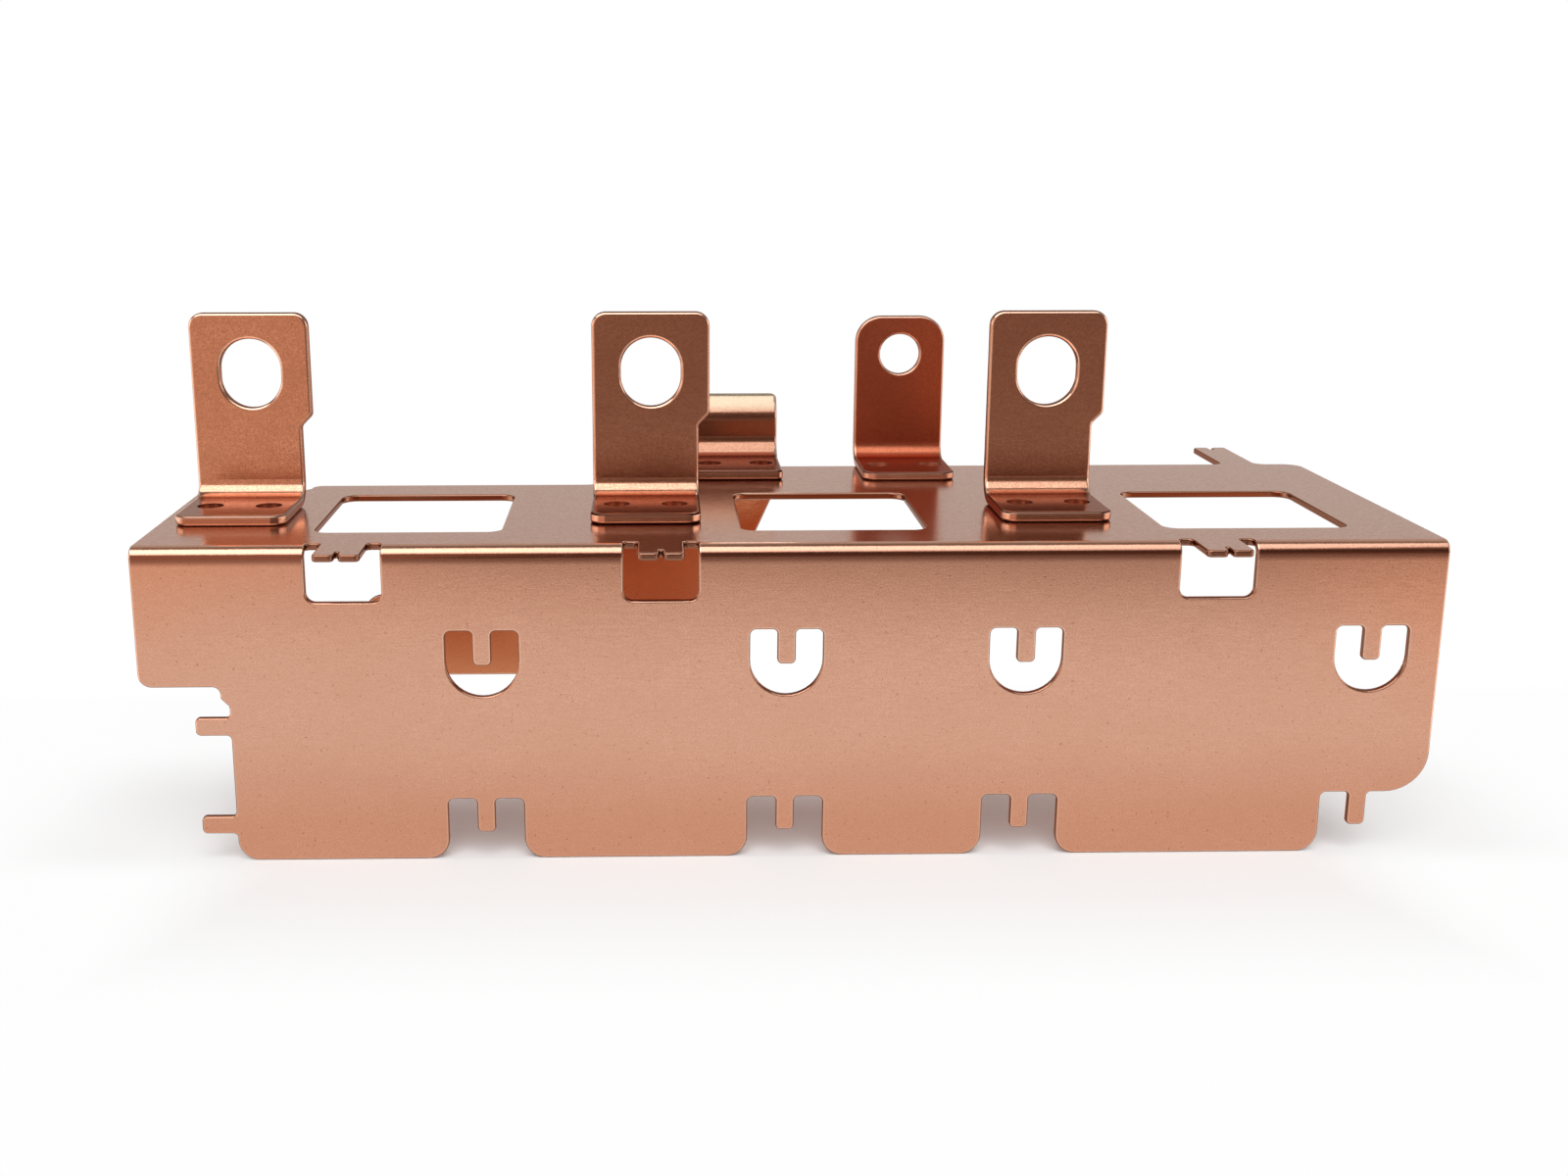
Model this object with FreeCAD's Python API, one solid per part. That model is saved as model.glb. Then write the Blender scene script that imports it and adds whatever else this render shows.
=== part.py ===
import FreeCAD, Part
import math
import os

# Copper bus bar: a folded sheet that carries five welded terminal tabs.
# Millimetres. X runs along the bar, Y goes back from the front wall, Z is up, the floor is at Z = 0.
# Until the last step X starts at the sheet's left edge and Y at the front wall's outer face.

# Sheet stock and folds
sheet_length = 170.0
sheet_height = 42.7
sheet_thickness = 1.0
fold_inside_radius = 0.6
edge_rounding = 0.45
small_radius = 0.65

# Windows in the top plate, in a row along X
window_count = 3
window_first_x = 34.3
window_last_from_right = 22.2
window_width = 24.8
window_depth = 25.5
window_front = 8.8
window_radius = 2.0

# Outline of the top plate
plate_depth_left = 41.9
plate_depth_right = 56.7
plate_step_x = 58.5
plate_notch_width = 15.9
plate_notch_run = 0.2
plate_corner_radius = 1.7
plate_right_radius = 2.9

# Rear tongue in the plane of the plate
rear_tongue_from_right = 9.4
rear_tongue_width = 5.4
rear_tongue_reach = 16.0

# Front tongues in the plane of the plate, each in a notch through the fold
front_tongue_x = (27.1, 67.9)
last_front_tongue_from_right = 30.0
front_tongue_width = 6.0
front_tongue_reach = 4.5
front_notch_width = 9.7
front_notch_depth = 7.35
front_notch_radius = 1.25
front_relief_radius = 0.6
front_relief_run = 0.1
tongue_slit_width = 0.5
tongue_slit_depth = 2.0

# Solder tails: one hangs in each D-shaped hole and one in each foot notch below it
tail_x = (44.6, 84.2, 115.5)
last_tail_from_right = 9.1
tail_width = 2.4
tail_length = 4.65
hole_width = 9.5
hole_top = 31.4
hole_height = 8.85
hole_radius = 0.8
foot_notch_width = 10.0
foot_notch_top = 8.4
foot_radius = 2.8
right_corner_radius = 5.5

# Left end of the front wall, with two side pins; the gaps are the straight runs above and below them
shoulder_height = 24.05
shoulder_width = 10.5
shoulder_radius = 1.0
slope_run = 1.1
slope_drop = 1.55
pin_tip_x = 7.0
pin_width = 2.45
upper_pin_gap = 0.225
lower_pin_gap = 0.325

# Rear wall: folded down under the step terminal, with an arm to the left and a leg to the floor
rear_relief_run = 0.6
rear_ledge = 1.5
rear_slant_drop = 2.0
leg_left = 49.0
leg_right = 69.3
arm_left = 19.7
arm_bottom = 7.8
arm_height = 13.6
arm_radius = 3.2

# Front terminals: a foot on the plate and an upright with a slot
front_terminal_first_x = 2.5
front_terminal_last_from_right = 55.7
front_terminal_thickness = 1.5
front_terminal_width = 15.0
front_terminal_shoulder = 1.55
shoulder_corner_radius = 1.0
front_terminal_height = 27.1
front_terminal_step_height = 11.2
front_terminal_front = 12.6
front_terminal_foot = 16.2
slot_width = 8.4
slot_height = 9.6
slot_from_top = 8.4
terminal_fold_radius = 2.2
terminal_top_radius = 2.0
foot_corner_radius = 2.0

# Rear terminal: the same kind of tab, thinner and with a round hole
rear_terminal_x = 98.9
rear_terminal_width = 14.0
rear_terminal_thickness = 1.3
rear_terminal_height = 23.5
rear_terminal_front = 43.7
rear_terminal_foot = 15.9
rear_terminal_radius = 4.0
screw_hole_diameter = 6.2
screw_hole_from_top = 5.95

# Rear step terminal: foot, riser and a lip bent back, which rises by so many degrees at its end
# and runs straight for a little before its rounded corners
step_terminal_x = 72.7
step_terminal_width = 14.0
step_terminal_thickness = 1.5
step_terminal_height = 10.9
step_terminal_front = 44.5
step_terminal_foot = 17.0
step_fold_radius = 2.8
step_lip_radius = 2.5
step_lip_rise = 25.0
step_lip_run = 0.1
step_corner_radius = 1.0

# Round weld pockets in the feet
dimple_diameter = 3.6
dimple_share = 0.55
dimple_spacing = 8.0
dimple_from_front = 6.9

FRONT_PLACES = ("left", "middle", "right")

# Sizes that follow from the ones above
fold_outside = fold_inside_radius + sheet_thickness
fold_bottom = sheet_height - fold_outside
window_pitch = (sheet_length - window_last_from_right - window_first_x) / max(window_count - 1, 1)
front_terminal_run = sheet_length - front_terminal_last_from_right - front_terminal_first_x
front_terminal_pitch = front_terminal_run / (len(FRONT_PLACES) - 1)
last_front_tongue_x = sheet_length - last_front_tongue_from_right
last_tail_x = sheet_length - last_tail_from_right
rear_tongue_x = sheet_length - rear_tongue_from_right
rear_tongue_end = plate_depth_right + rear_tongue_reach
plate_notch_depth = plate_notch_run + 2 * plate_corner_radius
rear_fold_start = plate_depth_right + small_radius + rear_relief_run
rear_wall_left = plate_step_x + rear_ledge
rear_wall_right = step_terminal_x + step_terminal_width
slant_top = fold_bottom - rear_slant_drop
pin_half = pin_width / 2
slope_top = shoulder_height - slope_drop
slope_end = slope_top - slope_run
lower_inset = shoulder_width + slope_run
upper_pin_height = slope_end - 2 * small_radius - upper_pin_gap - pin_half
lower_pin_height = foot_radius + small_radius + lower_pin_gap + pin_half
tail_half = tail_width / 2
lip_length = step_lip_run + step_corner_radius

PLANES = {
    "plan": (FreeCAD.Vector(1, 0, 0), FreeCAD.Vector(0, 1, 0), FreeCAD.Vector(0, 0, 1)),
    "front": (FreeCAD.Vector(1, 0, 0), FreeCAD.Vector(0, 0, 1), FreeCAD.Vector(0, 1, 0)),
    "side": (FreeCAD.Vector(0, 1, 0), FreeCAD.Vector(0, 0, 1), FreeCAD.Vector(1, 0, 0)),
}
TOUCH = 1e-6
SHARP_DEGREES = 60
LARGEST_ROUNDING = 0.3
LARGEST_CORNER_SHARE = 0.45


def rounded_wire(corners, across, up):
    """A closed outline through corners (u, v) or (u, v, radius), with an arc at each radius."""
    spots = [across * c[0] + up * c[1] for c in corners]
    radii = [c[2] if len(c) > 2 else 0.0 for c in corners]
    stretches = []
    for i, spot in enumerate(spots):
        to_last = (spots[i - 1] - spot).normalize()
        to_next = (spots[(i + 1) % len(spots)] - spot).normalize()
        half = to_last.getAngle(to_next) / 2
        run = radii[i] / math.tan(half)
        middle = (to_last + to_next).normalize() * (radii[i] / math.sin(half) - radii[i])
        stretches.append((spot + to_last * run, spot + middle, spot + to_next * run, radii[i]))
    edges = []
    for i, (begin, middle, end, radius) in enumerate(stretches):
        if radius > 0:
            edges.append(Part.Arc(begin, middle, end).toShape())
        following = stretches[(i + 1) % len(stretches)][0]
        if end.distanceToPoint(following) > TOUCH:
            edges.append(Part.makeLine(end, following))
    return Part.Wire(Part.__sortEdges__(edges))


def prism(corners, plane, start, end):
    """A solid with the given outline in a plane, from start to end along the third axis."""
    across, up, along = PLANES[plane]
    face = Part.Face(rounded_wire(corners, across, up))
    solid = face.extrude(along * (end - start))
    solid.translate(along * start)
    return solid


def block_corners(left, low, right, high, radius):
    """The four corners of a rectangle with one corner radius."""
    return [(left, low, radius), (right, low, radius), (right, high, radius), (left, high, radius)]


def is_sharp(solid, edge):
    """True where two faces meet at an edge with a clear corner between them."""
    faces = solid.ancestorsOfType(edge, Part.Face)
    if len(faces) < 2:
        return False
    spot = edge.valueAt((edge.FirstParameter + edge.LastParameter) / 2)
    normals = [face.normalAt(*face.Surface.parameter(spot)) for face in faces[:2]]
    return normals[0].getAngle(normals[1]) > math.radians(SHARP_DEGREES)


def soften(solid, thickness, tightest):
    """Rounds every sharp edge of a sheet piece, as far as its thickness and tightest corner allow."""
    radius = min(edge_rounding, thickness * LARGEST_ROUNDING, tightest * LARGEST_CORNER_SHARE)
    sharp = [edge for edge in solid.Edges if is_sharp(solid, edge)]
    return solid.makeFillet(radius, sharp)


def tongue_tip(center, half, tip, inward):
    """Corners of a tongue's end from left to right, with a slit in the middle."""
    slit = tongue_slit_width / 2
    slit_end = tip + inward * tongue_slit_depth
    return [
        (center - half, tip, small_radius),
        (center - slit, tip, small_radius),
        (center - slit, slit_end, slit),
        (center + slit, slit_end, slit),
        (center + slit, tip, small_radius),
        (center + half, tip, small_radius),
    ]


def plate_outline():
    """Outline of the top plate: front edge from left to right, then back along the rear."""
    corners = [(0, fold_outside)]
    relief = fold_outside + front_relief_run + front_relief_radius
    half_notch = front_notch_width / 2
    half_tongue = front_tongue_width / 2
    for x in front_tongue_x + (last_front_tongue_x,):
        corners += [(x - half_notch, fold_outside), (x - half_notch, relief, front_relief_radius)]
        corners += [(x - half_tongue, relief, front_relief_radius)]
        corners += tongue_tip(x, half_tongue, -front_tongue_reach, 1)
        corners += [(x + half_tongue, relief, front_relief_radius)]
        corners += [(x + half_notch, relief, front_relief_radius), (x + half_notch, fold_outside)]
    corners += [(sheet_length, fold_outside), (sheet_length, plate_depth_right, plate_right_radius)]
    half = rear_tongue_width / 2
    corners += [(rear_tongue_x + half, plate_depth_right, plate_corner_radius)]
    corners += reversed(tongue_tip(rear_tongue_x, half, rear_tongue_end, -1))
    corners += [(rear_tongue_x - half, plate_depth_right, plate_corner_radius)]
    corners += [(rear_wall_right, plate_depth_right, small_radius), (rear_wall_right, rear_fold_start)]
    corners += [(rear_wall_left, rear_fold_start), (rear_wall_left, plate_depth_right, small_radius)]
    corners += [(plate_step_x, plate_depth_right, small_radius)]
    corners += [(plate_step_x, plate_depth_left, plate_corner_radius)]
    corners += [(plate_notch_width, plate_depth_left, plate_corner_radius)]
    corners += [(plate_notch_width, plate_depth_left - plate_notch_depth, plate_corner_radius)]
    corners += [(0, plate_depth_left - plate_notch_depth, plate_corner_radius)]
    return corners


def foot_notch(x):
    """Corners of one foot notch from left to right, with a tail that hangs in its middle."""
    half = foot_notch_width / 2
    corners = [(x - half, 0, foot_radius), (x - half, foot_notch_top, hole_radius)]
    corners += tail(x, foot_notch_top)
    corners += [(x + half, foot_notch_top, hole_radius), (x + half, 0, foot_radius)]
    return corners


def tail(x, root):
    """Corners of a solder tail that hangs from root, from left to right."""
    tip = root - tail_length
    return [
        (x - tail_half, root, small_radius),
        (x - tail_half, tip, small_radius),
        (x + tail_half, tip, small_radius),
        (x + tail_half, root, small_radius),
    ]


def front_wall_outline():
    """Outline of the front wall: down the left end, along the feet and up the right end."""
    corners = [(0, fold_bottom), (0, shoulder_height, plate_corner_radius)]
    corners += [(shoulder_width, shoulder_height, shoulder_radius)]
    corners += [(shoulder_width, slope_top, small_radius), (lower_inset, slope_end, small_radius)]
    for z in (upper_pin_height, lower_pin_height):
        corners += [(lower_inset, z + pin_half, small_radius), (pin_tip_x, z + pin_half, small_radius)]
        corners += [(pin_tip_x, z - pin_half, small_radius), (lower_inset, z - pin_half, small_radius)]
    corners += [(lower_inset, 0, foot_radius)]
    for x in tail_x:
        corners += foot_notch(x)
    corners += foot_notch(last_tail_x)[:-2]
    corners += [(sheet_length, foot_notch_top, right_corner_radius), (sheet_length, fold_bottom)]
    return corners


def hole_outline(x):
    """Outline of a D-shaped hole with a solder tail that hangs in it."""
    half = hole_width / 2
    low = hole_top - hole_height
    corners = [(x - half, hole_top, hole_radius)] + tail(x, hole_top)
    return corners + [(x + half, hole_top, hole_radius), (x + half, low, half), (x - half, low, half)]


def rear_wall_outline():
    """Outline of the rear wall: left side, arm, leg and the slanted right edge."""
    arm_top = arm_bottom + arm_height
    return [
        (rear_wall_left, fold_bottom),
        (rear_wall_left, arm_top, arm_radius),
        (arm_left, arm_top, arm_radius),
        (arm_left, arm_bottom, arm_radius),
        (leg_left, arm_bottom, arm_radius),
        (leg_left, 0, foot_radius),
        (leg_right, 0, foot_radius),
        (rear_wall_right, slant_top, arm_radius),
        (rear_wall_right, fold_bottom),
    ]


def make_bus_sheet():
    """The folded sheet: plate, front fold and wall, rear fold and wall, less all openings."""
    plate_bottom = sheet_height - sheet_thickness
    plate = prism(plate_outline(), "plan", plate_bottom, sheet_height)
    front_fold = [
        (0, fold_bottom),
        (0, sheet_height, fold_outside),
        (fold_outside, sheet_height),
        (fold_outside, plate_bottom),
        (sheet_thickness, plate_bottom, fold_inside_radius),
        (sheet_thickness, fold_bottom),
    ]
    front = prism(front_fold, "side", 0, sheet_length)
    front = front.fuse(prism(front_wall_outline(), "front", 0, sheet_thickness))
    half_notch = front_notch_width / 2
    notch_low = sheet_height - front_notch_depth
    for x in front_tongue_x + (last_front_tongue_x,):
        notch = [
            (x - half_notch, notch_low, front_notch_radius),
            (x + half_notch, notch_low, front_notch_radius),
            (x + half_notch, sheet_height),
            (x - half_notch, sheet_height),
        ]
        front = front.cut(prism(notch, "front", 0, fold_outside))
    rear_outside = rear_fold_start + fold_outside
    rear_inside = rear_outside - sheet_thickness
    rear_fold = [
        (rear_fold_start, sheet_height),
        (rear_outside, sheet_height, fold_outside),
        (rear_outside, fold_bottom),
        (rear_inside, fold_bottom),
        (rear_inside, plate_bottom, fold_inside_radius),
        (rear_fold_start, plate_bottom),
    ]
    rear = prism(rear_fold, "side", rear_wall_left, rear_wall_right)
    rear = rear.fuse(prism(rear_wall_outline(), "front", rear_inside, rear_outside))
    sheet = plate.fuse([front, rear])
    for i in range(window_count):
        left = window_first_x + i * window_pitch - window_width / 2
        right = left + window_width
        rear_edge = window_front + window_depth
        window = block_corners(left, window_front, right, rear_edge, window_radius)
        sheet = sheet.cut(prism(window, "plan", plate_bottom, sheet_height))
    for x in tail_x + (last_tail_x,):
        sheet = sheet.cut(prism(hole_outline(x), "front", 0, sheet_thickness))
    return soften(sheet.removeSplitter(), sheet_thickness, small_radius)


def make_foot(left, width, front, back, thickness, corner_radius):
    """A terminal's foot on the plate, with rounded front corners."""
    corners = [(left, front, corner_radius), (left + width, front, corner_radius)]
    corners += [(left + width, back), (left, back)]
    return prism(corners, "plan", sheet_height, sheet_height + thickness)


def press_dimples(terminal, left, width, front, thickness):
    """Two round pockets in a terminal's foot, sunk by a share of its thickness."""
    depth = thickness * dimple_share
    for side in (-1, 1):
        x = left + width / 2 + side * dimple_spacing / 2
        spot = FreeCAD.Vector(x, front + dimple_from_front, sheet_height + thickness - depth)
        terminal = terminal.cut(Part.makeCylinder(dimple_diameter / 2, thickness, spot))
    return terminal


def make_tab(left, width, front, foot, thickness, upright_corners, hole, tightest):
    """An L-shaped terminal: foot, fold and an upright with a hole."""
    back = front + foot
    face = back - thickness
    low = sheet_height + thickness + terminal_fold_radius
    flat_end = face - terminal_fold_radius
    fold = [
        (flat_end, sheet_height),
        (back, sheet_height, terminal_fold_radius + thickness),
        (back, low),
        (face, low),
        (face, sheet_height + thickness, terminal_fold_radius),
        (flat_end, sheet_height + thickness),
    ]
    upright = prism([(left, low), (left + width, low)] + upright_corners, "front", face, back)
    upright = upright.cut(hole)
    tab = make_foot(left, width, front, flat_end, thickness, foot_corner_radius)
    tab = tab.fuse([prism(fold, "side", left, left + width), upright]).removeSplitter()
    tab = soften(tab, thickness, tightest)
    return press_dimples(tab, left, width, front, thickness)


def make_front_terminal(left):
    """A front terminal: its upright widens to the right below an upright slot."""
    right = left + front_terminal_width
    wide = right + front_terminal_shoulder
    top = sheet_height + front_terminal_height
    step = sheet_height + front_terminal_step_height
    upright = [
        (right, step, shoulder_corner_radius),
        (wide, step + front_terminal_shoulder, shoulder_corner_radius),
        (wide, top, terminal_top_radius),
        (left, top, terminal_top_radius),
    ]
    x = (left + wide) / 2
    z = top - slot_from_top
    half = slot_width / 2
    slot = block_corners(x - half, z - slot_height / 2, x + half, z + slot_height / 2, half)
    slot = prism(slot, "front", front_terminal_front, front_terminal_front + front_terminal_foot)
    return make_tab(
        left, front_terminal_width, front_terminal_front, front_terminal_foot,
        front_terminal_thickness, upright, slot, shoulder_corner_radius,
    )


def make_rear_terminal():
    """The rear terminal: a plain upright with large top corners and a round screw hole."""
    right = rear_terminal_x + rear_terminal_width
    top = sheet_height + rear_terminal_height
    upright = [(right, top, rear_terminal_radius), (rear_terminal_x, top, rear_terminal_radius)]
    x = rear_terminal_x + rear_terminal_width / 2
    spot = FreeCAD.Vector(x, rear_terminal_front, top - screw_hole_from_top)
    hole = Part.makeCylinder(screw_hole_diameter / 2, rear_terminal_foot, spot, PLANES["front"][2])
    return make_tab(
        rear_terminal_x, rear_terminal_width, rear_terminal_front, rear_terminal_foot,
        rear_terminal_thickness, upright, hole, foot_corner_radius,
    )


def make_step_terminal():
    """The rear step terminal: foot, riser and lip in one bent strip."""
    thickness = step_terminal_thickness
    back = step_terminal_front + step_terminal_foot
    face = back - thickness
    foot_top = sheet_height + thickness
    left = step_terminal_x
    right = left + step_terminal_width
    flat_end = face - step_fold_radius
    rise = math.radians(step_lip_rise)
    slope = math.tan((math.pi / 2 - rise) / 2)
    lip_outside = step_lip_radius + thickness
    bend_run = lip_outside * slope
    bend = sheet_height + step_terminal_height - (bend_run + lip_length) * math.sin(rise)
    lip_y = face + bend_run * math.cos(rise)
    lip_z = bend + bend_run * math.sin(rise)
    strip = [
        (flat_end, sheet_height),
        (back, sheet_height, step_fold_radius + thickness),
        (back, bend - thickness * slope, step_lip_radius),
        (lip_y + thickness * math.sin(rise), lip_z - thickness * math.cos(rise)),
        (lip_y, lip_z),
        (face, bend, lip_outside),
        (face, foot_top, step_fold_radius),
        (flat_end, foot_top),
    ]
    foot = make_foot(
        left, step_terminal_width, step_terminal_front, flat_end, thickness, step_corner_radius,
    )
    lip = [(left, 0), (right, 0)]
    lip += [(right, lip_length, step_corner_radius), (left, lip_length, step_corner_radius)]
    lip = prism(lip, "plan", -thickness, 0)
    lip.rotate(FreeCAD.Vector(0, 0, 0), PLANES["side"][2], step_lip_rise)
    lip.translate(FreeCAD.Vector(0, lip_y, lip_z))
    bar = foot.fuse([prism(strip, "side", left, right), lip]).removeSplitter()
    bar = soften(bar, thickness, step_corner_radius)
    return press_dimples(bar, left, step_terminal_width, step_terminal_front, thickness)


def main():
    pieces = {"bus_sheet": make_bus_sheet()}
    for i, place in enumerate(FRONT_PLACES):
        left = front_terminal_first_x + i * front_terminal_pitch
        pieces["front_terminal_" + place] = make_front_terminal(left)
    pieces["rear_terminal"] = make_rear_terminal()
    pieces["rear_step_terminal"] = make_step_terminal()
    home = FreeCAD.Vector(-sheet_length / 2, (front_tongue_reach - rear_tongue_end) / 2, 0)
    os.makedirs("parts", exist_ok=True)
    for name, shape in pieces.items():
        shape.translate(home)
        shape.exportStep("parts/" + name + ".step")


main()
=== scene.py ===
import math

import bpy
from mathutils import Matrix, Vector

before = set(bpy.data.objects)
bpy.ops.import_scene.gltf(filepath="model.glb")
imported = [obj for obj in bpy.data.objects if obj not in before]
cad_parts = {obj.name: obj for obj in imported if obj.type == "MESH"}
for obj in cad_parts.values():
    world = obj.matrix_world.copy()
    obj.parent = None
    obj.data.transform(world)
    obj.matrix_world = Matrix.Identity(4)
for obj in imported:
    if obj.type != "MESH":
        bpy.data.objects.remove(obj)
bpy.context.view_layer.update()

# Camera, from the photograph's perspective
CAMERA_PLACE = Vector((-0.01763, -0.25527, 0.09269))
CAMERA_YAW = math.radians(1.173)
CAMERA_PITCH = math.radians(14.121)
CAMERA_ROLL = math.radians(0.043)
CAMERA_LENS = 40.684
CAMERA_SHIFT = 0.0586
SENSOR_WIDTH = 36.0
CLIP_START = 0.01
CLIP_END = 100.0

# Copper tones, as linear colours
SHEET_LIGHT = (0.79, 0.458, 0.338, 1.0)
SHEET_DEEP = (0.67, 0.353, 0.239, 1.0)
# Deeper, redder tones inside the sheet's channel, as painted shade
SHADED_INNER_LIGHT = (0.68, 0.280, 0.150, 1.0)
SHADED_INNER_DEEP = (0.62, 0.240, 0.120, 1.0)
TAB_LIGHT = (0.88, 0.510, 0.355, 1.0)
TAB_DEEP = (0.515, 0.258, 0.166, 1.0)
# A darker, redder copy of the copper for the rear tab, as painted shade
SHADED_REAR_LIGHT = (0.66, 0.215, 0.115, 1.0)
SHADED_REAR_DEEP = (0.44, 0.122, 0.062, 1.0)
# A darker copy of the copper for the step tab's riser and foot, as painted shade
SHADED_STEP_LIGHT = (0.54, 0.300, 0.205, 1.0)
SHADED_STEP_DEEP = (0.37, 0.178, 0.116, 1.0)
# A paler, golden copy of the copper for the step's lip, as a painted highlight
LIP_HIGHLIGHT_LIGHT = (0.52, 0.425, 0.315, 1.0)
LIP_HIGHLIGHT_DEEP = (0.44, 0.340, 0.240, 1.0)
SPECK = (0.36, 0.14, 0.08, 1.0)
# A painted highlight where a rounded edge starts to turn, and painted shade on the cut faces
RIM_SHADE = (0.24, 0.10, 0.06, 1.0)
RIM_HIGHLIGHT = (0.88, 0.60, 0.46, 1.0)
# Near-black painted shade on the rounded rims of the tabs' feet
FOOT_RIM_SHADE = (0.09, 0.028, 0.017, 1.0)
# A darker, redder tone on the tabs' feet
FOOT_TINT = (0.20, 0.03, 0.02, 1.0)
# A painted dark band of shade on the lower half of the front fold
FOLD_SHADE = (0.22, 0.085, 0.055, 1.0)
GLANCE_DULL = (0.60, 0.45, 0.42, 1.0)

# Marks in the copper: features per metre along X, Y and Z, then detail and roughness of the noise
MARKS = {
    "cloud": ((110, 160, 160), 4.0, 0.6),
    "grain": ((500, 5200, 5200), 3.0, 0.6),
    "pebble": ((4600, 4600, 4600), 2.0, 0.5),
    "mottle": ((1500, 2100, 2100), 3.0, 0.6),
    "specks": ((2600, 2600, 2600), 2.0, 0.5),
}

# Each span below goes from one value to another, then gives the result at each of the two.
# How far the marks deepen the tone, in this order, and how far they dull a glancing view
DEEPENING = {
    "cloud": (0.30, 0.70, 0.40, 0.64),
    "pebble": (0.38, 0.64, 0.0, 0.85),
    "mottle": (0.40, 0.65, 0.0, 0.42),
    "grain": (0.40, 0.75, 0.0, 0.25),
}
SPECK_SPAN = (0.66, 0.76, 0.0, 0.55)
PEBBLE_WEAR = (0.38, 0.64, 0.0, 0.10)
MOTTLE_WEAR = (0.40, 0.65, 0.0, 0.14)
BUMP_STRENGTH = 0.22
BUMP_DISTANCE = 0.00002
GRAIN_HEIGHT = 0.4
GLOSS_SPAN = (0.7, 1.3)

# Roughness from smooth to rough, and how far an edge turns before it counts as cut
SHEET_GLOSS = (0.12, 0.22)
TAB_GLOSS = (0.13, 0.24)
REAR_GLOSS = (0.28, 0.40)
STEP_GLOSS = (0.12, 0.22)
SHEET_RIM = 0.07
TAB_RIM = 0.15
# Spans of turn for the painted highlight and the painted shade on the rims
RIM_LINE = (0.02, 0.2, 0.0, 0.65)
RIM_CUT = (1.0, 3.0, 0.0, 0.9)
# Spans of turn for the painted shade on the rims of the tabs' feet
FOOT_RIM = (0.03, 0.12, 0.0, 1.0)
FOOT_SIDE = (0.6, 0.9, 1.0, 0.0)
# How far the tabs' feet take the darker, redder tone
FOOT_TINT_SHARE = 0.40

# Places on the object in metres, as spans in depth and height
# The room between the sheet's walls, where painted shade deepens the tone
INSIDE = ((-0.0337, 0.0248), (-0.001, 0.0421))
FRONT_FOLD = ((-0.0350, -0.0326), (0.0411, 0.0440))
FRONT_TAB_FOLD = ((-0.0098, -0.0050), (0.0400, 0.0467))
REAR_TAB_FOLD = ((0.0215, 0.0260), (0.0400, 0.0465))
STEP_FOLD = ((0.0225, 0.0400), (0.0400, 0.1000))
WALL_Y = -0.0341
# Where the painted dark band of shade on the front fold lies
FOLD_BACK_Y = WALL_Y + 0.0016
FOLD_LOW_Z = (0.0400, 0.0410, 0.0, 0.85)
FOLD_HIGH_Z = (0.0416, 0.0420, 1.0, 0.0)
FOOT_FADE_Y = (0.0012, 0.0022)
FOOT_LEFT_X = (-0.060, -0.040, 0.60, 1.0)
FOOT_RIGHT_X = (0.0, 0.03, 1.0, 0.85)
LEG_LEFT_X = -0.0275
LEG_FRONT_Y = 0.0225
LEG_TOP_Z = (0.0285, 0.0315, 1.0, 0.0)
LIP_RISE_Z = (0.0506, 0.0521, 0.0, 1.0)

# Studio tones
WHITE = (1.0, 1.0, 1.0, 1.0)
PAPER = (0.92, 0.92, 0.92, 1.0)
# Painted shadow with warm copper bounce on the floor near the wall, as the metal sees it
PAPER_SHADOW_NEAR = (0.86, 0.73, 0.65, 1.0)
PAPER_WARM = (1.00, 0.785, 0.650, 1.0)
PAPER_MIDDLE = (0.95, 0.95, 0.94, 1.0)
PAPER_LEFT = (0.88, 0.79, 0.72, 1.0)
PAPER_RIGHT = (0.68, 0.61, 0.56, 1.0)
# Painted shadow with warm copper bounce on the floor under the bar, as the metal sees it
PAPER_SHADOW_UNDER = (0.66, 0.46, 0.35, 1.0)
PAPER_BEHIND = (0.85, 0.81, 0.76, 1.0)
PAPER_SIDE = (1.9, 1.8, 1.7, 1.0)
ROOM_LEFT = (0.84, 0.56, 0.43, 1.0)
ROOM_LOW = (0.15, 0.095, 0.072, 1.0)
ROOM_DARK = (0.31, 0.200, 0.158, 1.0)
ROOM_BAND = (0.21, 0.14, 0.11, 1.0)
ROOM_BACK = (0.60, 0.585, 0.57, 1.0)
ROOM_GAP = (0.24, 0.22, 0.20, 1.0)
FILL = (0.30, 0.30, 0.30, 1.0)

# The floor as the metal sees it, by metres across and in depth
FAR_X = (-0.10, 0.12, 0.0, 1.0)
FAR_Y = (-0.195, -0.125, 0.0, 1.0)
NEAR_Y = (-0.090, -0.040, 0.0, 1.0)
WARM_X = (0.10, 0.15, 0.0, 0.8)
UNDER_END_Y = (-0.020, 0.005, 0.0, 1.0)
SIDE_X = (0.12, 0.14, 0.0, 1.0)
SIDE_Y = (-0.09, -0.07, 0.0, 1.0)
PAST_X = (-0.10, -0.07, 0.0, 1.0)
PAST_Y = (-0.211, -0.205, 1.0, 0.0)

# How white the floor is to the camera; the rest of it shows the shadow
FLOOR_SIZE = 20.0
BEFORE_Y = (WALL_Y - 0.045, WALL_Y, 0.97, 0.35)
BEHIND_Y = (-0.020, 0.045, 0.10, 1.0)
ASIDE_X = (0.054, 0.086, 0.0, 0.94)
ENDS_X = (0.088, 0.114, 0.34, 0.0)
ENDS_FRONT_Y = (-0.040, -0.030, 0.0, 1.0)
ENDS_BACK_Y = (-0.012, 0.014, 1.0, 0.0)

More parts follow.
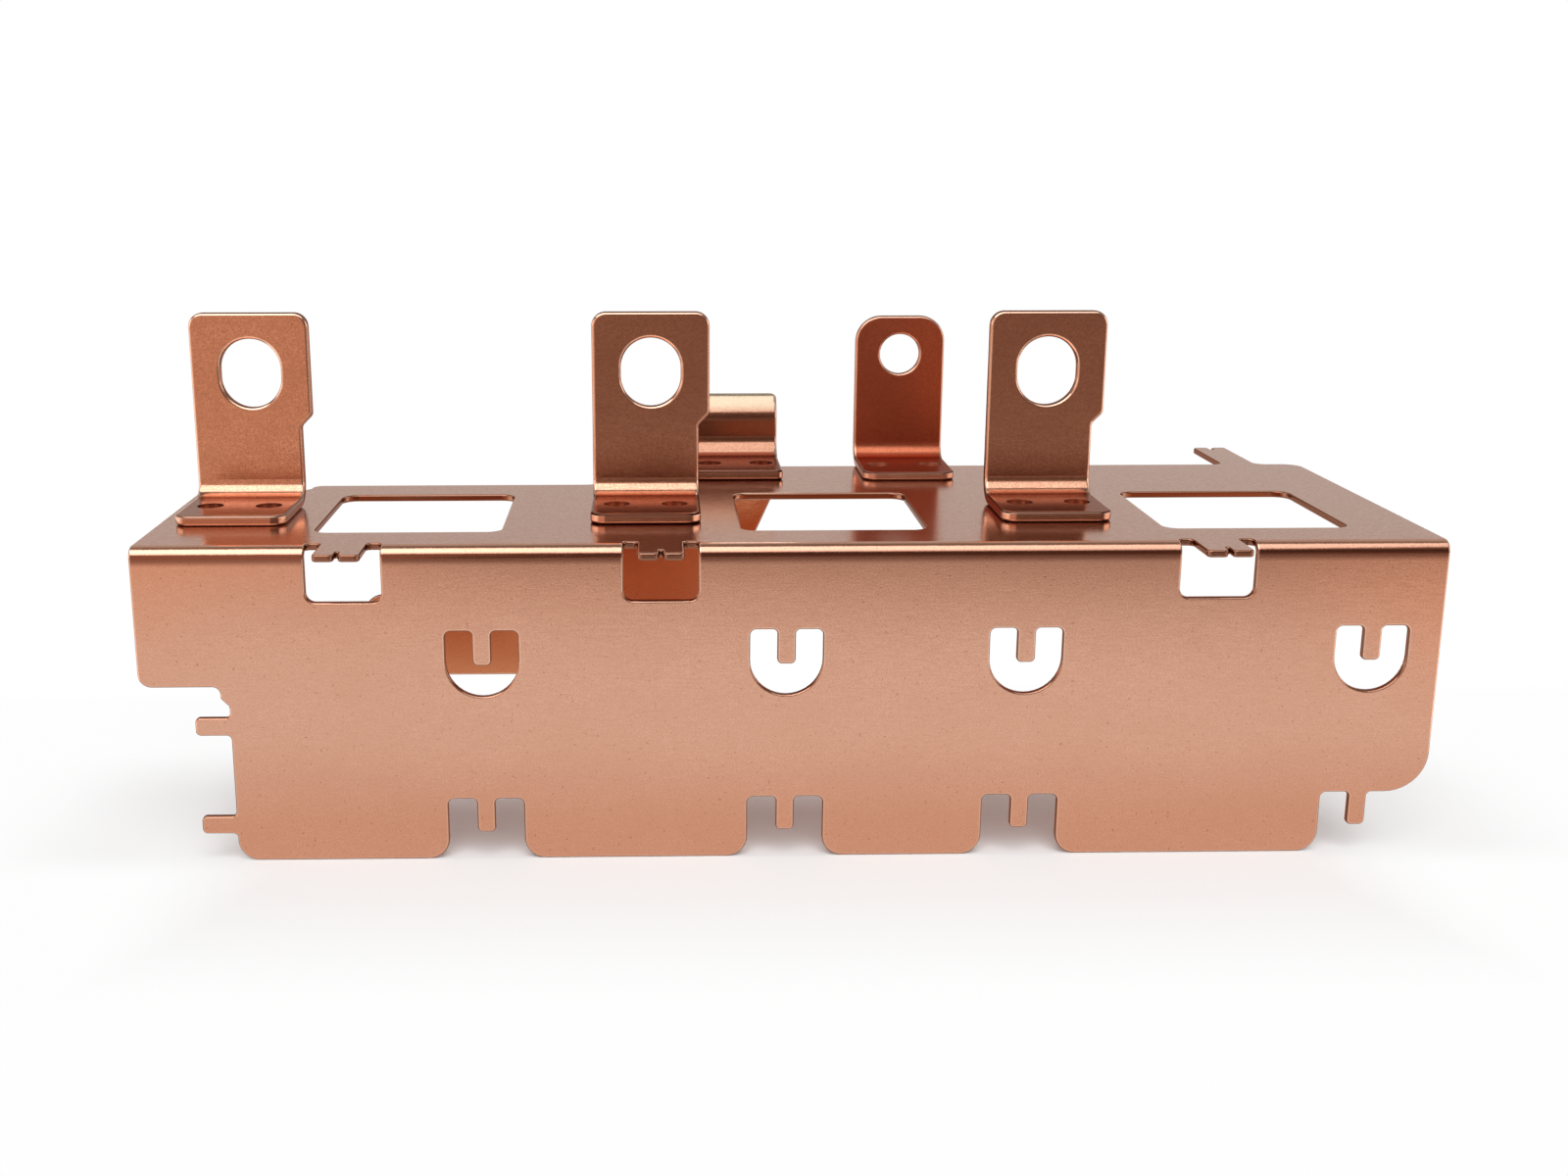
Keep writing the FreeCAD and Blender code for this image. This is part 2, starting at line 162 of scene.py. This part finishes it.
# The room as the metal sees it, by the parts of the way it looks
DARK_UP = (0.20, 0.50, 0.0, 1.0)
LEFT_UP = (0.40, 0.54, 0.0, 1.0)
LEFT_ACROSS = (-0.15, -0.06, 0.0, 1.0)
BACK_UP = (0.80, 0.93, 0.0, 1.0)
BACK_AHEAD = (-0.30, 0.10, 0.0, 1.0)
GLOW_ACROSS = (0.75, 0.90, 0.0, 1.0)
GLOW_UP = (0.35, 0.50, 1.0, 0.0)

# Cards: left to right, then front to back or bottom to top, in metres, and their strengths
DARK_CARD_Y = -0.235
DARK_CARD = (-0.072, 0.8, 0.0, 0.06)
DARK_STRENGTH = 1.0
TOP_CARD_Z = 0.75
TOP_CARD = (-0.8, 0.5, -1.15, -0.09)
TOP_STRENGTH = 3.05
TOP_FADE = 0.50
LIP_CARD_Z = 0.085
LIP_CARD = (-0.0140, 0.0060, 0.0195, 0.0445)
LIP_STRENGTH = 2.3
CARD_FADE_X = (-0.30, 0.30)

# The lamp for the floor
SUN_ENERGY = 2.1
SUN_ANGLE = math.radians(50)
SUN_TILT = math.radians(35)


class Tree:
    """Short calls to add and join the nodes of one material or world."""

    def __init__(self, owner):
        owner.use_nodes = True
        self.nodes = owner.node_tree.nodes
        self.links = owner.node_tree.links
        self.nodes.clear()

    def add(self, kind, sockets=None, **settings):
        node = self.nodes.new(kind)
        for key, value in settings.items():
            setattr(node, key, value)
        for key, value in (sockets or {}).items():
            if isinstance(value, bpy.types.NodeSocket):
                self.links.new(value, node.inputs[key])
            else:
                node.inputs[key].default_value = value
        return node

    def math(self, operation, first, second=0.0):
        node = self.add("ShaderNodeMath", {0: first, 1: second}, operation=operation)
        return node.outputs[0]

    def times(self, *values):
        """The product of all values."""
        result = values[0]
        for value in values[1:]:
            result = self.math("MULTIPLY", result, value)
        return result

    def ramp(self, value, low, high, to_low, to_high, kind="SMOOTHSTEP"):
        sockets = {"Value": value, "From Min": low, "From Max": high}
        sockets.update({"To Min": to_low, "To Max": to_high})
        node = self.add("ShaderNodeMapRange", sockets, interpolation_type=kind)
        return node.outputs["Result"]

    def blend(self, share, first, second):
        """Goes from one value to another by a share."""
        node = self.add("ShaderNodeMix", {0: share, 2: first, 3: second}, data_type="FLOAT")
        return node.outputs[0]

    def mix(self, share, first, second):
        """Goes from one colour to another by a share."""
        node = self.add("ShaderNodeMix", {0: share, 6: first, 7: second}, data_type="RGBA")
        return node.outputs[2]

    def split(self, vector):
        """The X, Y and Z of a vector."""
        return self.add("ShaderNodeSeparateXYZ", {0: vector}).outputs


def noise(tree, place, stretch, detail, roughness):
    """Noise over the object, with so many features per metre along each axis."""
    scaled = tree.add("ShaderNodeMapping", {"Vector": place, "Scale": stretch})
    sockets = {"Vector": scaled.outputs[0], "Scale": 1.0, "Detail": detail, "Roughness": roughness}
    return tree.add("ShaderNodeTexNoise", sockets).outputs["Fac"]


def within(tree, place, box):
    """One between two depths and two heights, zero elsewhere."""
    spots = tree.split(place)
    limits = []
    for axis, (low, high) in zip("YZ", box):
        limits.append(tree.math("GREATER_THAN", spots[axis], low))
        limits.append(tree.math("LESS_THAN", spots[axis], high))
    return tree.times(*limits)


def rim_turn(tree, place, normal, fold, is_sheet):
    """How far the surface turns away from its flat or fold: zero there, one on the cut faces."""
    sides = tree.split(normal)
    spots = tree.split(place)
    along = tree.math("SUBTRACT", 1.0, tree.times(sides["X"], sides["X"]))
    bent = tree.math("SQRT", tree.math("MAXIMUM", along, 0.0))
    if is_sheet:
        level = tree.math("GREATER_THAN", spots["Z"], fold[1][0])
    else:
        level = tree.math("LESS_THAN", spots["Y"], fold[0][0])
    facing = tree.blend(level, tree.math("ABSOLUTE", sides["Y"]), tree.math("ABSOLUTE", sides["Z"]))
    facing = tree.blend(within(tree, place, fold), facing, bent)
    return tree.math("SUBTRACT", 1.0, facing)


def fold_shade_share(tree, place):
    """How far the lower half of the front fold and the wall just below it get a painted dark band of
    shade.
    """
    spots = tree.split(place)
    low = tree.ramp(spots["Z"], *FOLD_LOW_Z)
    high = tree.ramp(spots["Z"], *FOLD_HIGH_Z)
    return tree.times(low, high, tree.math("LESS_THAN", spots["Y"], FOLD_BACK_Y))


def foot_share(tree, place, fold):
    """One on a tab's foot, where the tone turns darker and redder; less on the left and the right tab.
    """
    spots = tree.split(place)
    start, end = (fold[0][0] + fade for fade in FOOT_FADE_Y)
    foot = tree.ramp(spots["Y"], start, end, 1.0, 0.0)
    left = tree.ramp(spots["X"], *FOOT_LEFT_X)
    right = tree.ramp(spots["X"], *FOOT_RIGHT_X)
    return tree.times(left, right, foot)


def inner_shade_share(tree, place):
    """One in the room between the sheet's walls, but not on the leg of the rear wall: there the sheet
    gets deeper, redder tones as painted shade.
    """
    spots = tree.split(place)
    right = tree.math("GREATER_THAN", spots["X"], LEG_LEFT_X)
    back = tree.math("GREATER_THAN", spots["Y"], LEG_FRONT_Y)
    leg = tree.times(right, back, tree.ramp(spots["Z"], *LEG_TOP_Z))
    return tree.times(within(tree, place, INSIDE), tree.math("SUBTRACT", 1.0, leg))


def lip_highlight_share(tree, place):
    """One on the lip of the step tab, zero on its riser and foot; the lip gets a paler, golden tone
    there as a painted highlight.
    """
    return tree.ramp(tree.split(place)["Z"], *LIP_RISE_Z)


def copper(name, light, deep, gloss, fold, rim, other=None, is_sheet=False):
    """Bare copper: mottling, grain along the bar, specks, rims with a painted highlight and painted
    shade, a painted dark band of shade below the front fold, darker and redder feet.

    Another pair of tones may be given for a part of the piece, with the share that finds it.
    """
    material = bpy.data.materials.new(name)
    tree = Tree(material)
    spots = tree.add("ShaderNodeTexCoord").outputs
    place = spots["Object"]
    marks = {mark: noise(tree, place, *size) for mark, size in MARKS.items()}

    if other:
        other_light, other_deep, find = other
        share = find(tree, place)
        light = tree.mix(share, light, other_light)
        deep = tree.mix(share, deep, other_deep)
    tone = light
    for mark, span in DEEPENING.items():
        tone = tree.mix(tree.ramp(marks[mark], *span), tone, deep)
    tone = tree.mix(tree.ramp(marks["specks"], *SPECK_SPAN), tone, SPECK)

    if is_sheet:
        foot = 0.0
        tone = tree.mix(fold_shade_share(tree, place), tone, FOLD_SHADE)
    else:
        foot = foot_share(tree, place, fold)
        tone = tree.mix(tree.times(foot, FOOT_TINT_SHARE), tone, FOOT_TINT)

    turn = rim_turn(tree, place, spots["Normal"], fold, is_sheet)
    # Painted highlight where a rounded edge starts to turn, painted shade on the cut faces; the cut
    # faces, the feet and the wear also dull the glancing view
    rim_highlight = tree.ramp(turn, rim * RIM_LINE[0], rim * RIM_LINE[1], *RIM_LINE[2:])
    cut = tree.ramp(turn, rim * RIM_CUT[0], rim * RIM_CUT[1], *RIM_CUT[2:])
    cut = tree.times(cut, tree.math("SUBTRACT", 1.0, foot))
    # Painted shade on the rounded rims of the tabs' feet
    foot_rim_shade = tree.times(tree.ramp(turn, *FOOT_RIM), tree.ramp(turn, *FOOT_SIDE), foot)
    tone = tree.mix(rim_highlight, tone, RIM_HIGHLIGHT)
    tone = tree.mix(cut, tone, RIM_SHADE)
    tone = tree.mix(foot_rim_shade, tone, FOOT_RIM_SHADE)

    pebble_wear = tree.ramp(marks["pebble"], *PEBBLE_WEAR)
    wear_and_shade = tree.math("ADD", pebble_wear, tree.ramp(marks["mottle"], *MOTTLE_WEAR))
    wear_and_shade = tree.math("MAXIMUM", wear_and_shade, tree.math("MAXIMUM", cut, foot))
    height = tree.math("ADD", tree.times(marks["grain"], GRAIN_HEIGHT), marks["pebble"])
    sockets = {"Height": height, "Strength": BUMP_STRENGTH, "Distance": BUMP_DISTANCE}
    bump = tree.add("ShaderNodeBump", sockets)
    texture = tree.math("ADD", marks["grain"], marks["pebble"])
    sockets = {
        "Base Color": tone,
        "Metallic": 1.0,
        "Specular Tint": tree.mix(wear_and_shade, WHITE, GLANCE_DULL),
        "Roughness": tree.ramp(texture, *GLOSS_SPAN, *gloss),
        "Normal": bump.outputs[0],
    }
    shader = tree.add("ShaderNodeBsdfPrincipled", sockets)
    tree.add("ShaderNodeOutputMaterial", {"Surface": shader.outputs[0]})
    return material


def plain_mesh(name, corners):
    """One four-sided face."""
    mesh = bpy.data.meshes.new(name)
    mesh.from_pydata(corners, [], [(0, 1, 2, 3)])
    piece = bpy.data.objects.new(name, mesh)
    bpy.context.scene.collection.objects.link(piece)
    return piece


def level_face(name, height, left, right, front, back):
    corners = [(left, front), (right, front), (right, back), (left, back)]
    return plain_mesh(name, [(across, depth, height) for across, depth in corners])


def upright_face(name, depth, left, right, low, high):
    corners = [(left, low), (right, low), (right, high), (left, high)]
    return plain_mesh(name, [(across, depth, height) for across, height in corners])


def mirrored_floor(tree, across, depth):
    """The floor in the metal: painted shadow with warm copper bounce by and under the wall, white
    further out, dim past the paper's edge.
    """
    aside = tree.math("ABSOLUTE", across)
    far = tree.mix(tree.ramp(across, *FAR_X), PAPER_LEFT, PAPER_RIGHT)
    tone = tree.mix(tree.ramp(depth, *FAR_Y), far, PAPER_MIDDLE)
    tone = tree.mix(tree.ramp(depth, *NEAR_Y), tone, PAPER_SHADOW_NEAR)
    tone = tree.mix(tree.ramp(aside, *WARM_X), tone, PAPER_WARM)
    tone = tree.mix(tree.math("GREATER_THAN", depth, WALL_Y), tone, PAPER_SHADOW_UNDER)
    tone = tree.mix(tree.ramp(depth, *UNDER_END_Y), tone, PAPER_BEHIND)
    beside = tree.times(tree.ramp(aside, *SIDE_X), tree.ramp(depth, *SIDE_Y))
    tone = tree.mix(beside, tone, PAPER_SIDE)
    past = tree.mix(tree.ramp(across, *PAST_X), ROOM_LEFT, ROOM_DARK)
    return tree.mix(tree.ramp(depth, *PAST_Y), tone, past)


def floor_white(tree, across, depth):
    """How white the floor is: less in front of the wall, behind it and at the ends of the bar."""
    aside = tree.math("ABSOLUTE", across)
    before = tree.ramp(depth, *BEFORE_Y)
    behind = tree.ramp(depth, *BEHIND_Y)
    middle = tree.blend(tree.math("GREATER_THAN", depth, WALL_Y), before, behind)
    front = tree.ramp(depth, *ENDS_FRONT_Y)
    back = tree.ramp(depth, *ENDS_BACK_Y)
    ends = tree.times(tree.ramp(aside, *ENDS_X), front, back)
    outside = tree.math("SUBTRACT", tree.ramp(aside, *ASIDE_X), ends)
    return tree.math("MAXIMUM", middle, outside)


def make_floor():
    """A pale floor with soft shadow near the object, and with its own tones in the metal."""
    floor = level_face("floor", 0, -FLOOR_SIZE, FLOOR_SIZE, -FLOOR_SIZE, FLOOR_SIZE)
    material = bpy.data.materials.new("floor_white")
    tree = Tree(material)
    spots = tree.split(tree.add("ShaderNodeTexCoord").outputs["Object"])
    paths = tree.add("ShaderNodeLightPath").outputs
    mirrored = paths["Is Glossy Ray"]
    seen = tree.times(paths["Is Camera Ray"], floor_white(tree, spots["X"], spots["Y"]))
    share = tree.blend(mirrored, seen, 1.0)
    tone = tree.mix(mirrored, WHITE, mirrored_floor(tree, spots["X"], spots["Y"]))
    paper = tree.add("ShaderNodeBsdfDiffuse", {"Color": PAPER})
    white = tree.add("ShaderNodeEmission", {"Color": tone, "Strength": 1.0})
    sockets = {0: share, 1: paper.outputs[0], 2: white.outputs[0]}
    mixed = tree.add("ShaderNodeMixShader", sockets)
    tree.add("ShaderNodeOutputMaterial", {"Surface": mixed.outputs[0]})
    floor.data.materials.append(material)


def make_card(card, tone, strength, fade=1.0):
    """Makes a face a studio card in the metal; its strength changes by a factor to the right."""
    material = bpy.data.materials.new(card.name)
    tree = Tree(material)
    spots = tree.split(tree.add("ShaderNodeTexCoord").outputs["Object"])
    level = tree.ramp(spots["X"], *CARD_FADE_X, strength, strength * fade, "LINEAR")
    glow = tree.add("ShaderNodeEmission", {"Color": tone, "Strength": level})
    tree.add("ShaderNodeOutputMaterial", {"Surface": glow.outputs[0]})
    card.data.materials.append(material)
    card.visible_camera = False
    card.visible_diffuse = False
    card.visible_transmission = False
    card.visible_shadow = False


def make_world():
    """White to the camera; a pale studio, dark in front, to the metal; even fill for the floor."""
    world = bpy.data.worlds.new("studio")
    bpy.context.scene.world = world
    tree = Tree(world)
    way = tree.split(tree.add("ShaderNodeTexCoord").outputs["Generated"])
    paths = tree.add("ShaderNodeLightPath").outputs
    dark = tree.mix(tree.ramp(way["Z"], *DARK_UP), ROOM_LOW, ROOM_DARK)
    left = tree.mix(tree.ramp(way["Z"], *LEFT_UP), ROOM_LEFT, ROOM_BAND)
    front = tree.mix(tree.ramp(way["X"], *LEFT_ACROSS), left, dark)
    back = tree.mix(tree.ramp(way["Z"], *BACK_UP), ROOM_BACK, ROOM_GAP)
    studio = tree.mix(tree.ramp(way["Y"], *BACK_AHEAD), front, back)
    aside = tree.ramp(tree.math("ABSOLUTE", way["X"]), *GLOW_ACROSS)
    aside = tree.times(aside, tree.ramp(way["Z"], *GLOW_UP))
    studio = tree.mix(aside, studio, PAPER_SIDE)
    level = tree.mix(paths["Is Glossy Ray"], FILL, studio)
    seen = tree.mix(paths["Is Camera Ray"], level, WHITE)
    shade = tree.add("ShaderNodeBackground", {"Color": seen, "Strength": 1.0})
    tree.add("ShaderNodeOutputWorld", {"Surface": shade.outputs[0]})


def make_light():
    """One broad soft light from above and in front, for the floor."""
    data = bpy.data.lights.new("overhead", "SUN")
    data.energy = SUN_ENERGY
    data.angle = SUN_ANGLE
    lamp = bpy.data.objects.new("overhead", data)
    lamp.rotation_euler = (SUN_TILT, 0, 0)
    lamp.visible_glossy = False
    bpy.context.scene.collection.objects.link(lamp)


def make_camera():
    data = bpy.data.cameras.new("camera")
    data.sensor_fit = "HORIZONTAL"
    data.sensor_width = SENSOR_WIDTH
    data.lens = CAMERA_LENS
    data.shift_x = CAMERA_SHIFT
    data.clip_start = CLIP_START
    data.clip_end = CLIP_END
    flat = math.cos(CAMERA_PITCH)
    across, forward = math.sin(CAMERA_YAW), math.cos(CAMERA_YAW)
    ahead = Vector((across * flat, forward * flat, -math.sin(CAMERA_PITCH)))
    right = Vector((forward, -across, 0))
    right = right * math.cos(CAMERA_ROLL) - right.cross(ahead) * math.sin(CAMERA_ROLL)
    turn = Matrix((right, right.cross(ahead), -ahead)).transposed()
    camera = bpy.data.objects.new("camera", data)
    camera.matrix_world = Matrix.Translation(CAMERA_PLACE) @ turn.to_4x4()
    bpy.context.scene.collection.objects.link(camera)
    bpy.context.scene.camera = camera


# Painted shade: deeper, redder tones inside the sheet's channel
inner_shade = (SHADED_INNER_LIGHT, SHADED_INNER_DEEP, inner_shade_share)
# Painted highlight: a paler, golden tone on the step's lip
lip = (LIP_HIGHLIGHT_LIGHT, LIP_HIGHLIGHT_DEEP, lip_highlight_share)
sheet = copper("copper_sheet", SHEET_LIGHT, SHEET_DEEP, SHEET_GLOSS, FRONT_FOLD, SHEET_RIM, inner_shade, True)
tab = copper("copper_tab", TAB_LIGHT, TAB_DEEP, TAB_GLOSS, FRONT_TAB_FOLD, TAB_RIM)
# The rear tab gets a darker copy of the copper, as painted shade
rear = copper("copper_rear_shaded", SHADED_REAR_LIGHT, SHADED_REAR_DEEP, REAR_GLOSS, REAR_TAB_FOLD, TAB_RIM)
# The step tab gets a darker copy of the copper, as painted shade
step = copper("copper_step_shaded", SHADED_STEP_LIGHT, SHADED_STEP_DEEP, STEP_GLOSS, STEP_FOLD, TAB_RIM, lip)
special = {"bus_sheet": sheet, "rear_terminal": rear, "rear_step_terminal": step}
for name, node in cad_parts.items():
    for slot in node.material_slots:
        slot.material = special.get(name, tab)

make_floor()
make_card(upright_face("dark_card", DARK_CARD_Y, *DARK_CARD), ROOM_DARK, DARK_STRENGTH)
make_card(level_face("top_light", TOP_CARD_Z, *TOP_CARD), WHITE, TOP_STRENGTH, TOP_FADE)
make_card(level_face("lip_light", LIP_CARD_Z, *LIP_CARD), WHITE, LIP_STRENGTH)
make_world()
make_light()
make_camera()
bpy.context.scene.view_settings.view_transform = "Standard"
